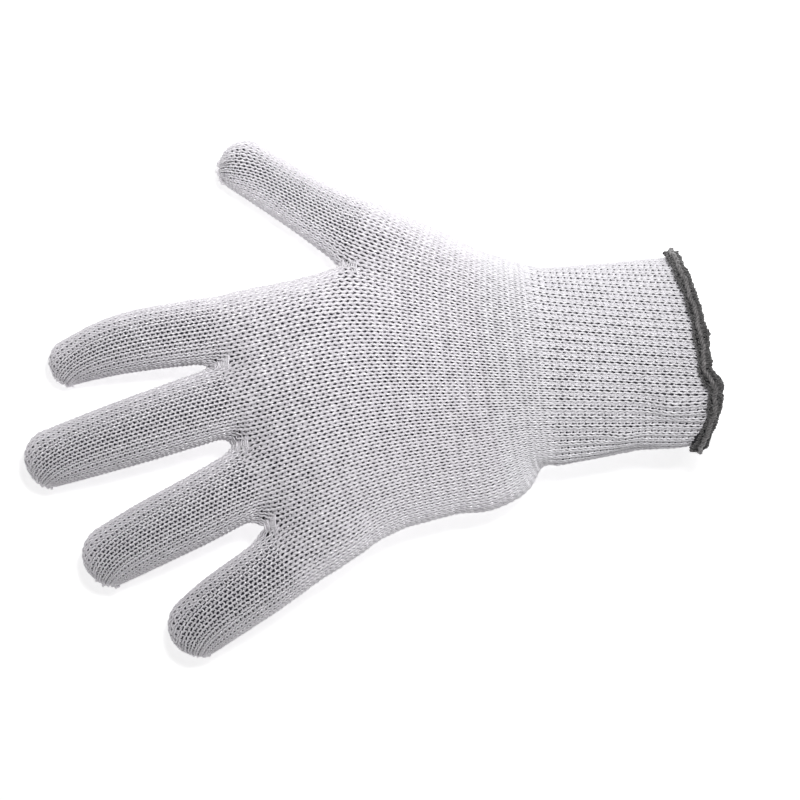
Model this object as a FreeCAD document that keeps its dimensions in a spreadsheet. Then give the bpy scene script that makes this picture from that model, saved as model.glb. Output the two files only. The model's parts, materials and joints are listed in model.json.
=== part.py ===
import FreeCAD, Part
import math
import os
from FreeCAD import Vector

# Seamless knitted cut resistant glove for a left hand, in the shape it has when worn:
# palm down, fingers slightly curled so that their tips reach the surface it lies on.
# Origin: centre of the wrist opening. +X leaves the opening along the wrist, the fingers
# point to -X, the thumb is on the +Y side and the back of the hand faces +Z.

doc = FreeCAD.newDocument("cut_resistant_glove")

# ---------------------------------------------------------------- driving dimensions

DIMENSIONS = {
    # thickness of the knit: plain shell, ribbed cuff and edge binding
    "wall": 1.6,
    "cuff_wall": 2.2,
    "binding_radius": 2.4,
    "elastic_radius": 0.4,
    "elastic_spacing": 5.5,
    # surface under the glove
    "rest_height": -31.0,
    # wrist: tilt of the cuff axis above the horizontal and place of the wrist bend
    "cuff_tilt": 8.0,
    "cuff_half_width": 35.4,
    "cuff_half_height": 22.5,
    "wrist_x": -60.0,
    "wrist_height": -8.4,
    # knuckle line, where the palm folds
    "knuckle_x": -136.0,
    "knuckle_height": -4.5,
    # clear gap kept on each side of a bend, and half of the bend's waist
    "bend_gap": 0.35,
    "bend_waist": 0.25,
    # bend limits in degrees, flexion towards the palm and extension away from it
    "wrist_flex": 50.0,
    "wrist_extend": 50.0,
    "knuckle_flex": 68.0,
    "knuckle_extend": 22.0,
    "middle_flex": 78.0,
    "middle_extend": 6.0,
    "tip_flex": 50.0,
    "tip_extend": 8.0,
    "thumb_base_flex": 30.0,
    "thumb_base_extend": 12.0,
    "thumb_tip_flex": 50.0,
    "thumb_tip_extend": 12.0,
    # direction in which the thumb folds: turn from the horizontal towards the floor
    "thumb_fold_turn": 40.0,
    # share of a finger's total fall that is reached at its middle and tip bends
    "middle_fall": 0.25,
    "tip_fall": 0.62,
    # linked seam that closes each fingertip
    "closure_length": 9.0,
    "closure_radius": 1.5,
}

# Each finger: place along the knuckle line, then lengths in plan, yaw towards the
# little finger's side, and tube radii at the knuckle, the two bends and the tip.
FINGER_KEYS = ["knuckle_y", "base_length", "base_yaw", "middle_length", "middle_yaw",
               "tip_length", "tip_yaw", "root_radius", "middle_radius", "tip_bend_radius",
               "tip_radius"]
FINGERS = {
    "index": [28.5, 42.0, -2.5, 25.0, 0.7, 16.2, 7.8, 12.6, 11.6, 10.7, 9.3],
    "middle": [10.5, 53.8, 10.0, 26.4, 10.2, 17.2, 8.4, 13.4, 12.5, 11.3, 10.3],
    "ring": [-12.5, 43.3, 22.7, 25.9, 18.9, 16.2, 16.5, 13.2, 12.3, 11.6, 10.6],
    "little": [-43.5, 29.7, 29.2, 19.6, 26.1, 10.5, 23.7, 12.8, 12.4, 11.8, 10.8],
}

# Thumb: buried start, ball of the thumb, knuckle, bends and tip as plan points with radii.
THUMB_KEYS = ["start_x", "start_y", "start_radius", "ball_x", "ball_y", "ball_radius",
              "yaw", "knuckle_length", "knuckle_radius", "base_bend_length",
              "base_bend_radius", "tip_bend_length", "tip_bend_radius", "tip_length",
              "tip_radius"]
THUMB = [-64.0, 13.0, 13.5, -84.0, 32.0, 17.4, -37.3, 36.5, 13.2, 43.0, 11.9, 62.8, 10.2,
         83.7, 9.2]

# Oval sections of the wrist and palm, from the wrist opening to the finger crotches:
# x, centre y, centre height, half width, half height.
PALM_KEYS = ["x", "y", "height", "half_width", "half_height"]
PALM = [
    [-52.0, 0.8, -7.3, 35.6, 22.4],
    [-66.0, 2.6, -9.0, 38.2, 21.9],
    [-80.0, -0.3, -9.4, 44.2, 21.5],
    [-95.0, -0.4, -8.9, 46.0, 21.0],
    [-112.0, -1.2, -7.5, 47.2, 20.0],
    [-126.0, -3.6, -5.9, 49.0, 19.0],
    [-140.0, -7.4, -5.0, 50.4, 17.8],
    [-153.0, -8.2, -6.2, 49.0, 15.8],
    [-164.5, -9.0, -7.6, 45.5, 12.6],
]

for finger, values in FINGERS.items():
    for key, value in zip(FINGER_KEYS, values):
        DIMENSIONS[finger + "_" + key] = value
for key, value in zip(THUMB_KEYS, THUMB):
    DIMENSIONS["thumb_" + key] = value
for number, values in enumerate(PALM):
    for key, value in zip(PALM_KEYS, values):
        DIMENSIONS["palm_" + key + "_at_" + "abcdefghi"[number]] = value

sheet = doc.addObject("Spreadsheet::Sheet", "sizes")
for row, (alias, value) in enumerate(DIMENSIONS.items(), start=1):
    sheet.set("A" + str(row), alias)
    sheet.set("B" + str(row), str(value))
    sheet.setAlias("B" + str(row), alias)
doc.recompute()


def size(alias):
    """Value of a driving dimension."""
    return float(sheet.get(alias))


def bind(item, name, formula):
    """Bind a property to a formula in which a cell is written as its alias in braces."""
    item.setExpression(name, formula.replace("{", "sizes.").replace("}", ""))


# ---------------------------------------------------------------- small geometry helpers

UP = Vector(0, 0, 1)
# latitudes of the circles that make a fingertip's dome
DOME_ANGLES = (32.0, 58.0, 78.0)
# size unit of the blocks that pick one side of a hinge line
REACH = 60.0
# turn of the palm's last section towards the shorter little finger
WEB_TILT = 8.0
# how far a finger tube starts behind the knuckle line, and its narrowing there
ROOT_SETBACK = 12.0
ROOT_TAPER = (0.8, 0.95, 0.97)
THUMB_START_RISE = 3.0
# half width and depth of the wedges at the bends of the hand and the thumb
WRIST_BEND_ROOM = (60.0, 36.0)
KNUCKLE_BEND_ROOM = (90.0, 30.0)
THUMB_BASE_BEND_ROOM = (14.0, 17.0)
THUMB_TIP_BEND_ROOM = (12.0, 15.0)
# a finger bend's wedges: width beyond the tube's radius, depth as a share of the root
BEND_MARGIN = 1.0
BEND_DEPTH_RATIO = 1.5
# distances along the cuff axis: outer sections, the cavity's overrun and its sections
CUFF_STRAIGHT_END = -26.0
CAVITY_OVERRUN = 4.0
CUFF_CAVITY_STATIONS = (6.0, -26.0, -66.0)
# elastic threads inside the cuff: number, first place and clearance from the knit
ELASTIC_COUNT = 8
ELASTIC_START = -4.0
ELASTIC_CLEARANCE = 0.1


def plan_direction(yaw):
    """Level unit vector towards the fingers, turned by yaw to the little finger's side."""
    turn = math.radians(yaw)
    return Vector(-math.cos(turn), -math.sin(turn), 0)


def placed(point, first, second):
    """Placement with its local X and Y axes along two perpendicular unit vectors."""
    rotation = FreeCAD.Rotation(first, second, first.cross(second), "ZXY")
    return FreeCAD.Placement(point, rotation)


def across(direction, side):
    """Unit vector square to direction that lies as near as possible to side."""
    level = side - direction * side.dot(direction)
    return level.normalize()


def circle(name, point, direction, radius_formula):
    """Circle square to direction."""
    item = doc.addObject("Part::Circle", name)
    side = across(direction, Vector(0, 1, 0))
    item.Placement = placed(point, side, direction.cross(side))
    bind(item, "Radius", radius_formula)
    return item


def oval(name, point, direction, width_formula, height_formula):
    """Ellipse square to direction, with its long axis level."""
    item = doc.addObject("Part::Ellipse", name)
    side = across(direction, Vector(0, 1, 0))
    item.Placement = placed(point, side, direction.cross(side))
    bind(item, "MajorRadius", width_formula)
    bind(item, "MinorRadius", height_formula)
    return item


def loft(name, sections):
    """Solid through a list of closed sections, straight from each one to the next."""
    item = doc.addObject("Part::Loft", name)
    item.Sections = sections
    item.Solid = True
    item.Ruled = True
    return item


def combine(kind, name, items):
    """Chain of two-body booleans over a list of solids; the last one bears the name."""
    result = items[0]
    for number, tool in enumerate(items[1:], start=1):
        last = number == len(items) - 1
        item = doc.addObject(kind, name if last else name + "_step_" + str(number))
        item.Base = result
        item.Tool = tool
        item.Refine = False
        result = item
    return result


def fuse(name, items):
    return combine("Part::Fuse", name, items)


def common(name, items):
    return combine("Part::Common", name, items)


def cut(name, base, tool):
    return combine("Part::Cut", name, [base, tool])


# ---------------------------------------------------------------- bends


class Bend:
    """Hinge line across a tube of knit, with the V-shaped room that folding needs.

    The tube on each side stops at two planes through the hinge line: steep ones on the
    side that folds together and shallow ones on the other side.
    """

    def __init__(self, name, pivot, axis, direction, half_width, depth, flex, extend):
        self.name = name
        self.pivot = pivot
        self.forward = across(axis, direction)
        self.open_side = self.forward.cross(axis)
        self.half_width = half_width
        self.depth = depth
        self.flex = flex
        self.extend = extend

    def _wedge(self, label, waist, palm_side):
        """One V of the bend, with its narrow end on the hinge line."""
        item = doc.addObject("Part::Wedge", self.name + label)
        angle = self.flex if palm_side else self.extend
        wide = "({0} + {1} * tan({2} / 2 + 1))".format(waist, self.depth, angle)
        near, far = ("X2", "X") if palm_side else ("X", "X2")
        bind(item, near + "min", "-" + waist)
        bind(item, near + "max", waist)
        bind(item, far + "min", "-" + wide)
        bind(item, far + "max", wide)
        item.Ymin = -self.depth if palm_side else 0.0
        item.Ymax = 0.0 if palm_side else self.depth
        for edge in ("Zmin", "Z2min"):
            setattr(item, edge, -self.half_width)
        for edge in ("Zmax", "Z2max"):
            setattr(item, edge, self.half_width)
        item.Placement = placed(self.pivot, self.forward, self.open_side)
        return item

    def room(self):
        """Everything that the two neighbouring tubes keep out of."""
        waist = "({bend_waist} + {bend_gap})"
        wedges = [self._wedge("_room_palm_side", waist, True),
                  self._wedge("_room_back_side", waist, False)]
        return fuse(self.name + "_room", wedges)

    def filling(self):
        """The part of that room which the folding knit fills."""
        waist = "{bend_waist}"
        wedges = [self._wedge("_filling_palm_side", waist, True),
                  self._wedge("_filling_back_side", waist, False)]
        return fuse(self.name + "_filling", wedges)

    def side(self, label, beyond):
        """Block on the far side of the hinge line, or on the near side."""
        item = doc.addObject("Part::Box", self.name + label)
        item.Length = REACH * 2
        item.Width = REACH * 4
        item.Height = REACH * 4
        start = Vector(0.0 if beyond else -REACH * 2, -REACH * 2, -REACH * 2)
        frame = placed(self.pivot, self.forward, self.open_side)
        item.Placement = frame.multiply(FreeCAD.Placement(start, FreeCAD.Rotation()))
        return item


def name_part(item, label):
    """Give a finished sub-part its label and remember it."""
    item.Label = label
    NODES.append(item)
    return item


NODES = []

# ---------------------------------------------------------------- fingers


class Digit:
    """Centre line, radii and bends of a finger or the thumb."""

    def __init__(self, name, stations, tip_point, tip_direction):
        self.name = name
        self.stations = stations
        self.tip_point = tip_point
        self.tip_direction = tip_direction

    def solid(self, label, inset):
        """Tapered tube with a domed end, drawn in from the outside by inset."""
        sections = []
        for number, (point, direction, radius) in enumerate(self.stations):
            section_name = "{0}_{1}_{2}".format(self.name, label, number)
            formula = "{{{0}}} * {1} - {2}".format(*radius, inset)
            sections.append(circle(section_name, point, direction, formula))
        tip_alias = self.name + "_tip_radius"
        dome = size(tip_alias) - (size("wall") if inset != "0" else 0.0)
        for number, angle in enumerate(DOME_ANGLES):
            section_name = "{0}_{1}_dome_{2}".format(self.name, label, number)
            rise = dome * math.sin(math.radians(angle))
            point = self.tip_point + self.tip_direction * rise
            formula = "({{{0}}} - {1}) * cos({2})".format(tip_alias, inset, angle)
            sections.append(circle(section_name, point, self.tip_direction, formula))
        return loft(self.name + "_" + label, sections)

    def closure(self, outer, side):
        """Short bar of linked stitches across the fingertip."""
        bar = doc.addObject("Part::Cylinder", self.name + "_closure_bar")
        bind(bar, "Radius", "{closure_radius}")
        bind(bar, "Height", "{closure_length}")
        end = self.tip_point + self.tip_direction * size(self.name + "_tip_radius")
        bar_axis = across(self.tip_direction, side)
        first = self.tip_direction
        start = end - bar_axis * (size("closure_length") / 2)
        bar.Placement = placed(start, first, bar_axis.cross(first))
        name_part(cut(self.name + "_closure_node", bar, outer), self.name + "_tip_closure")


def build_finger(name):
    """Tubes, bends and closure of one finger, and its two solids for the palm."""
    yaws = [size(name + "_" + part + "_yaw") for part in ("base", "middle", "tip")]
    lengths = [size(name + "_" + part + "_length") for part in ("base", "middle", "tip")]
    lowest = size("rest_height") + size(name + "_tip_radius")
    fall = size("knuckle_height") - lowest
    shares = (size("middle_fall"), size("tip_fall"), 1.0)
    points = [Vector(size("knuckle_x"), size(name + "_knuckle_y"), size("knuckle_height"))]
    for yaw, length, share in zip(yaws, lengths, shares):
        point = points[-1] + plan_direction(yaw) * length
        point.z = size("knuckle_height") - fall * share
        points.append(point)
    knuckle, middle, tip_bend, tip = points
    along = [(end - start).normalize() for start, end in zip(points, points[1:])]
    turn = [(along[0] + along[1]).normalize(), (along[1] + along[2]).normalize()]
    radius = [name + "_" + part for part in
              ("root_radius", "middle_radius", "tip_bend_radius", "tip_radius")]
    halfway = (knuckle + middle) / 2
    stations = [
        (knuckle - along[0] * ROOT_SETBACK, along[0], (radius[0], ROOT_TAPER[0])),
        (knuckle, along[0], (radius[0], ROOT_TAPER[1])),
        (halfway, along[0], (radius[0], ROOT_TAPER[2])),
        (middle, turn[0], (radius[1], 1.0)),
        (tip_bend, turn[1], (radius[2], 1.0)),
        (tip, along[2], (radius[3], 1.0)),
    ]
    digit = Digit(name, stations, tip, along[2])
    outer = digit.solid("outer", "0")
    inner = digit.solid("inner", "{wall}")
    shell = cut(name + "_shell", outer, inner)

    # both bends fold about a level line turned half as far as the finger itself, so
    # that the folded fingers lie side by side and point back along the palm
    axis = plan_direction(yaws[0] / 2 + 90)
    depth = size(radius[0]) * BEND_DEPTH_RATIO
    widths = [size(radius[1]) + BEND_MARGIN, size(radius[2]) + BEND_MARGIN]
    bends = [
        Bend(name + "_middle_bend", middle, axis, turn[0], widths[0], depth,
             "{middle_flex}", "{middle_extend}"),
        Bend(name + "_tip_bend", tip_bend, axis, turn[1], widths[1], depth,
             "{tip_flex}", "{tip_extend}"),
    ]
    rooms = [bend.room() for bend in bends]
    beyond = [bend.side("_beyond", True) for bend in bends]
    before = [bend.side("_before", False) for bend in bends]
    middle_piece = common(name + "_middle_whole", [shell, beyond[0], before[1]])
    trimmed = cut(name + "_middle_trimmed", middle_piece, rooms[0])
    name_part(cut(name + "_middle_node", trimmed, rooms[1]), name + "_middle")
    tip_piece = common(name + "_tip_whole", [shell, beyond[1]])
    name_part(cut(name + "_tip_node", tip_piece, rooms[1]), name + "_tip")
    for bend in bends:
        fold = common(bend.name + "_node", [shell, bend.filling()])
        name_part(fold, bend.name)
    digit.closure(outer, axis)
    stub_outer = common(name + "_stub_outer", [outer, before[0]])
    return stub_outer, inner, rooms[0]


def build_thumb():
    """Thumb tubes, bends and closure, and its two solids for the palm."""
    along = plan_direction(size("thumb_yaw"))
    rest = size("rest_height")

    def lying(x, y, radius):
        return Vector(x, y, rest + radius)

    ball = lying(size("thumb_ball_x"), size("thumb_ball_y"), size("thumb_ball_radius"))
    places = []
    for part in ("knuckle", "base_bend", "tip_bend", "tip"):
        point = ball + along * size("thumb_" + part + "_length")
        places.append(lying(point.x, point.y, size("thumb_" + part + "_radius")))
    knuckle, base_bend, tip_bend, tip = places
    start = Vector(size("thumb_start_x"), size("thumb_start_y"),
                   ball.z + THUMB_START_RISE)
    stations = [
        (start, (ball - start).normalize(), ("thumb_start_radius", 1.0)),
        (ball, along, ("thumb_ball_radius", 1.0)),
        (knuckle, along, ("thumb_knuckle_radius", 1.0)),
        (base_bend, along, ("thumb_base_bend_radius", 1.0)),
        (tip_bend, along, ("thumb_tip_bend_radius", 1.0)),
        (tip, along, ("thumb_tip_radius", 1.0)),
    ]
    digit = Digit("thumb", stations, tip, along)
    outer = digit.solid("outer", "0")
    inner = digit.solid("inner", "{wall}")
    shell = cut("thumb_shell", outer, inner)

    # the thumb folds towards the palm along a slope between sideways and down
    turn = math.radians(size("thumb_fold_turn"))
    sideways = UP.cross(along)
    fold_side = sideways * math.cos(turn) - UP * math.sin(turn)
    axis = along.cross(fold_side)
    bends = [
        Bend("thumb_base_bend", base_bend, axis, along, *THUMB_BASE_BEND_ROOM,
             "{thumb_base_flex}", "{thumb_base_extend}"),
        Bend("thumb_tip_bend", tip_bend, axis, along, *THUMB_TIP_BEND_ROOM,
             "{thumb_tip_flex}", "{thumb_tip_extend}"),
    ]
    rooms = [bend.room() for bend in bends]
    beyond = [bend.side("_beyond", True) for bend in bends]
    before = [bend.side("_before", False) for bend in bends]
    base_piece = common("thumb_base_whole", [shell, beyond[0], before[1]])
    trimmed = cut("thumb_base_trimmed", base_piece, rooms[0])
    name_part(cut("thumb_base_node", trimmed, rooms[1]), "thumb_base")
    tip_piece = common("thumb_tip_whole", [shell, beyond[1]])
    name_part(cut("thumb_tip_node", tip_piece, rooms[1]), "thumb_tip")
    for bend in bends:
        fold = common(bend.name + "_node", [shell, bend.filling()])
        name_part(fold, bend.name)
    digit.closure(outer, axis)
    stub_outer = common("thumb_stub_outer", [outer, before[0]])
    return stub_outer, inner, rooms[0]


# ---------------------------------------------------------------- palm and cuff


def palm_solid(label, inset, end_inset):
    """Lofted solid of the wrist and palm, drawn in from the outside by inset."""
    tilt = math.radians(size("cuff_tilt"))
    cuff_axis = Vector(math.cos(tilt), 0, math.sin(tilt))
    opening = "{cuff_half_width} - " + inset
    opening_height = "{cuff_half_height} - " + inset
    sections = []
    overrun = CAVITY_OVERRUN if inset != "0" else 0.0
    for number, distance in enumerate((overrun, CUFF_STRAIGHT_END)):
        section_name = "palm_{0}_cuff_{1}".format(label, number)
        point = cuff_axis * distance
        sections.append(oval(section_name, point, cuff_axis, opening, opening_height))
    last = len(PALM) - 1
    for number in range(len(PALM)):
        letter = "_at_" + "abcdefghi"[number]
        point = Vector(size("palm_x" + letter), size("palm_y" + letter),
                       size("palm_height" + letter))
        direction = Vector(1, 0, 0)
        if number == 0:
            direction = cuff_axis
        if number == last:
            web = math.radians(WEB_TILT)
            direction = Vector(math.cos(web), math.sin(web), 0)
            point = point + direction * end_inset
        width = "{palm_half_width" + letter + "} - " + inset
        height = "{palm_half_height" + letter + "} - " + inset
        section_name = "palm_{0}_{1}".format(label, number)
        sections.append(oval(section_name, point, direction, width, height))
    return loft("palm_" + label, sections)


def build_cuff_trim(cuff_axis):
    """Edge binding round the wrist opening and elastic threads inside the cuff."""
    side = Vector(0, 1, 0)
    up = cuff_axis.cross(side)
    path = doc.addObject("Part::Ellipse", "binding_path")
    bind(path, "MajorRadius", "{cuff_half_width} - {cuff_wall} / 2")
    bind(path, "MinorRadius", "{cuff_half_height} - {cuff_wall} / 2")
    path.Placement = placed(cuff_axis * size("binding_radius"), side, up)
    profile = doc.addObject("Part::Circle", "binding_profile")
    bind(profile, "Radius", "{binding_radius}")
    rim = cuff_axis * size("binding_radius")
    rim = rim + side * (size("cuff_half_width") - size("cuff_wall") / 2)
    profile.Placement = placed(rim, side, cuff_axis)
    binding = doc.addObject("Part::Sweep", "cuff_binding_node")
    binding.Sections = [profile]
    binding.Spine = (path, ["Edge1"])
    binding.Solid = True
    binding.Frenet = True
    name_part(binding, "cuff_edge_binding")

    threads = []
    inset = size("cuff_wall") + size("elastic_radius") + ELASTIC_CLEARANCE
    for number in range(ELASTIC_COUNT):
        centre = cuff_axis * (ELASTIC_START - number * size("elastic_spacing"))
        line = doc.addObject("Part::Ellipse", "elastic_path_" + str(number))
        line.MajorRadius = size("cuff_half_width") - inset
        line.MinorRadius = size("cuff_half_height") - inset
        line.Placement = placed(centre, side, up)
        section = doc.addObject("Part::Circle", "elastic_profile_" + str(number))
        bind(section, "Radius", "{elastic_radius}")
        start = centre + side * (size("cuff_half_width") - inset)
        section.Placement = placed(start, side, cuff_axis)
        thread = doc.addObject("Part::Sweep", "elastic_thread_" + str(number))
        thread.Sections = [section]
        thread.Spine = (line, ["Edge1"])
        thread.Solid = True
        thread.Frenet = True
        threads.append(thread)
    elastic = doc.addObject("Part::Compound", "cuff_elastic_node")
    elastic.Links = threads
    name_part(elastic, "cuff_elastic_threads")


def carve(name, label, outers, blocks, rooms, inners):
    """Piece of the shell: the outer solids within the blocks, clear of the bends' rooms
    and hollowed by the inner solids."""
    limited = [common("{0}_limited_{1}".format(name, number), [outer] + blocks)
               for number, outer in enumerate(outers)]
    result = fuse(name + "_fused", limited) if len(limited) > 1 else limited[0]
    for number, tool in enumerate(rooms + inners):
        result = cut("{0}_cut_{1}".format(name, number), result, tool)
    name_part(result, label)


def build_hand():
    """Palm, band of finger roots, the bends between them and the cuff."""
    fingers = [build_finger(name) for name in FINGERS]
    finger_outers = [finger[0] for finger in fingers]
    finger_inners = [finger[1] for finger in fingers]
    finger_rooms = [finger[2] for finger in fingers]
    thumb_outer, thumb_inner, thumb_room = build_thumb()
    palm_outer = palm_solid("outer", "0", 0.0)
    palm_inner = palm_solid("inner", "{wall}", size("wall"))

    across_hand = Vector(0, -1, 0)
    wrist = Bend("wrist_bend", Vector(size("wrist_x"), 0, size("wrist_height")),
                 across_hand, Vector(-1, 0, 0), *WRIST_BEND_ROOM, "{wrist_flex}",
                 "{wrist_extend}")
    knuckles = Bend("knuckle_bend", Vector(size("knuckle_x"), 0, size("knuckle_height")),
                    across_hand, Vector(-1, 0, 0), *KNUCKLE_BEND_ROOM,
                    "{knuckle_flex}", "{knuckle_extend}")
    wrist_room = wrist.room()
    knuckle_room = knuckles.room()

    blocks = [wrist.side("_beyond", True), knuckles.side("_before", False)]
    carve("palm", "palm", [palm_outer, thumb_outer], blocks,
          [wrist_room, knuckle_room, thumb_room], [palm_inner, thumb_inner])
    carve("finger_root", "finger_root_band", [palm_outer] + finger_outers,
          [knuckles.side("_beyond", True)], [knuckle_room] + finger_rooms,
          [palm_inner] + finger_inners)
    carve("wrist_fold", "wrist_bend", [palm_outer], [wrist.filling()], [], [palm_inner])
    carve("knuckle_fold", "knuckle_bend", [palm_outer] + finger_outers,
          [knuckles.filling()], [], [palm_inner] + finger_inners)

    # the ribbed cuff is thicker than the shell, so its cavity is its own
    tilt = math.radians(size("cuff_tilt"))
    cuff_axis = Vector(math.cos(tilt), 0, math.sin(tilt))
    cavity = []
    for number, distance in enumerate(CUFF_CAVITY_STATIONS):
        section_name = "cuff_cavity_{0}".format(number)
        cavity.append(oval(section_name, cuff_axis * distance, cuff_axis,
                           "{cuff_half_width} - {cuff_wall}",
                           "{cuff_half_height} - {cuff_wall}"))
    carve("cuff", "cuff_rib", [palm_outer], [wrist.side("_before", False)], [wrist_room],
          [loft("cuff_cavity", cavity)])
    build_cuff_trim(cuff_axis)


# ---------------------------------------------------------------- build, check and write

build_hand()
doc.recompute()

problems = []
for item in doc.Objects:
    if "Invalid" in item.State or "Error" in item.State:
        problems.append(item.Name + " failed to build")
for item in NODES:
    shape = item.Shape
    if shape.isNull() or not shape.isValid():
        problems.append(item.Label + " has no valid shape")
        continue
    box = shape.optimalBoundingBox()
    print("{0:24s} solids {1} volume {2:9.1f}  x {3:7.1f} {4:7.1f}  y {5:6.1f} {6:6.1f}"
          "  z {7:6.1f} {8:6.1f}".format(item.Label, len(shape.Solids), shape.Volume,
                                        box.XMin, box.XMax, box.YMin, box.YMax,
                                        box.ZMin, box.ZMax))
if problems:
    raise RuntimeError("; ".join(problems))

os.makedirs("parts", exist_ok=True)
for item in NODES:
    item.Shape.exportStep("parts/" + item.Label + ".step")
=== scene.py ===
import json
import math

import bpy
import numpy as np
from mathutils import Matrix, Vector


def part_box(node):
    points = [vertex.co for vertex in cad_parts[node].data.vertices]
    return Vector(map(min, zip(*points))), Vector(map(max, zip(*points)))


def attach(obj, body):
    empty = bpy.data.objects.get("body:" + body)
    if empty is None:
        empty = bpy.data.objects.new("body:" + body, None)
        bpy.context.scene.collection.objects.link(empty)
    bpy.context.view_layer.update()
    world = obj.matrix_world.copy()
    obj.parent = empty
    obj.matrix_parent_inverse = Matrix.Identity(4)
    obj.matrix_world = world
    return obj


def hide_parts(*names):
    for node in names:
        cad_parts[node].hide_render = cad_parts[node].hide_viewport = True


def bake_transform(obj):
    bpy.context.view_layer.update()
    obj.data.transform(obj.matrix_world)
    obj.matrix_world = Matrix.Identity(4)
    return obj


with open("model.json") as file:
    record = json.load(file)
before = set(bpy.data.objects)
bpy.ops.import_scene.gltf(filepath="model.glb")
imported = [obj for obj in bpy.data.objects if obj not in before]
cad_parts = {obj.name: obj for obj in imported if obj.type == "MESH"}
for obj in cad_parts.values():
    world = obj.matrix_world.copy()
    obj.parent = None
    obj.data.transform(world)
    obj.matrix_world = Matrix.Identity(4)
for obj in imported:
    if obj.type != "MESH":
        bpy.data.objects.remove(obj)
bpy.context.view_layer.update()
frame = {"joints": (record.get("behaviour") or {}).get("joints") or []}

# A seamless knitted glove. The form of the hand comes from the frame's joints and the
# dimensions below; a net with one node per stitch is relaxed over that form, and every
# stitch is then drawn as a loop of real yarn over a lining and a dark face of painted
# shade that darkens the holes between the stitches.
# Lengths in this script are millimetres until a mesh is made.

MM = 0.001
rng = np.random.default_rng(7)
JOINT = {j["name"]: np.array(j["pos_m"]) / MM for j in frame["joints"]}
FLOOR_Z = min(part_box(n)[0].z for n in ("thumb_tip", "index_tip", "ring_tip")) / MM
UP = np.array([0.0, 0.0, 1.0])


def unit(v):
    return v / np.linalg.norm(v, axis=-1, keepdims=True)


def run_length(path):
    """Distance along a path at each of its points."""
    return np.r_[0, np.cumsum(np.linalg.norm(np.diff(path, axis=0), axis=1))]


# ------------ form of the hand

# the rim of the cuff: half width and half height, and height of its centre
RIM_HALF = (32.6, 21.2)
RIM_Z = 1.2
# the line of the finger crotches slants across the hand, about this y
WEB_TURN = math.tan(math.radians(8.0))
WEB_CENTRE_Y = -9.0
# station of the bend between cuff and palm
WRIST_X = -59.0

# oval sections of cuff and palm: x, centre y, centre z, half width, half height
OVALS = np.array([
    [12.0, -0.4, 1.4, 33.6, 22.2],
    [-2.0, -0.4, 0.6, 33.6, 22.2],
    [-14.0, -0.2, -1.6, 34.0, 22.4],
    [-28.0, 0.6, -3.9, 33.8, 22.4],
    [-52.0, 0.8, -7.3, 35.2, 22.3],
    [-66.0, 2.6, -9.0, 38.0, 21.9],
    [-80.0, -0.3, -9.4, 43.6, 21.5],
    [-95.0, -0.4, -8.9, 46.0, 21.0],
    [-112.0, -1.2, -7.5, 47.2, 20.0],
    [-126.0, -3.6, -5.9, 49.0, 19.0],
    [-140.0, -7.4, -5.0, 50.4, 17.6],
    [-153.0, -8.2, -6.2, 49.0, 15.4],
    [-161.0, -9.0, -7.6, 45.5, 12.0],
    [-165.3, -9.0, -8.6, 43.0, 7.5],
    [-168.3, -9.0, -9.0, 40.0, 2.0],
])[::-1]

# each finger: y on the knuckle line, radii at knuckle, two bends and tip, then plan
# length and turn from the last bend to the centre of the tip
FINGERS = {
    "index": [28.5, (12.2, 11.7, 10.9, 8.5), 18.2, 12.6],
    "middle": [10.5, (13.0, 12.5, 11.5, 10.5), 17.2, 10.4],
    "ring": [-12.5, (12.8, 12.5, 12.0, 11.1), 16.4, 20.5],
    "little": [-43.5, (12.4, 12.5, 12.2, 11.4), 11.0, 30.0],
}
KNUCKLE = JOINT["knuckle_hinge"]
THUMB_TURN = math.radians(-37.3)
THUMB_DIR = np.array([-math.cos(THUMB_TURN), -math.sin(THUMB_TURN), 0.0])
THUMB_BALL = np.array([-84.0, 32.0, FLOOR_Z + 17.4])


def finger_line(name):
    """Centre line and radii of a finger: knuckle, its two bends and its tip."""
    y, radii, length, yaw = FINGERS[name]
    yaw = math.radians(yaw)
    root = np.array([KNUCKLE[0], y, KNUCKLE[2]])
    middle = JOINT[name + "_middle_hinge"]
    last = JOINT[name + "_tip_hinge"]
    tip = last + length * np.array([-math.cos(yaw), -math.sin(yaw), 0.0])
    tip[2] = FLOOR_Z + radii[3]
    return np.array([root, middle, last, tip]), np.array(radii)


def thumb_line():
    """Centre line and radii of the thumb, from inside the palm to its tip."""
    radii = np.array([13.5, 17.7, 13.7, 12.2, 10.1, 9.7])
    start = np.array([-64.0, 13.0, THUMB_BALL[2] + 3.0])
    outward = np.array([THUMB_DIR[1], -THUMB_DIR[0], 0.0])
    knuckle = THUMB_BALL + THUMB_DIR * 36.5 + outward * 0.5
    knuckle[2] = FLOOR_Z + radii[2]
    tip = THUMB_BALL + THUMB_DIR * 85.2 + outward * 2.1
    tip[2] = FLOOR_Z + radii[5]
    points = [start, THUMB_BALL, knuckle, JOINT["thumb_base_hinge"] + outward * 0.6,
              JOINT["thumb_tip_hinge"] + outward * 0.9, tip]
    return np.array(points), radii


def rounded(line, radii, rounds=2):
    """A digit's line and radii with its corners cut."""
    path = np.c_[line, radii]
    for _ in range(rounds):
        near = 0.75 * path[:-1] + 0.25 * path[1:]
        far = 0.25 * path[:-1] + 0.75 * path[1:]
        inner = np.stack([near, far], 1).reshape(-1, 4)[1:-1]
        path = np.concatenate([path[:1], inner, path[-1:]])
    return path[:, :3], path[:, 3]


CONTROL = {name: finger_line(name) for name in FINGERS}
CONTROL["thumb"] = thumb_line()
LINES = {name: rounded(*CONTROL[name]) for name in FINGERS}
LINES["thumb"] = rounded(*CONTROL["thumb"], rounds=1)


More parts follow.
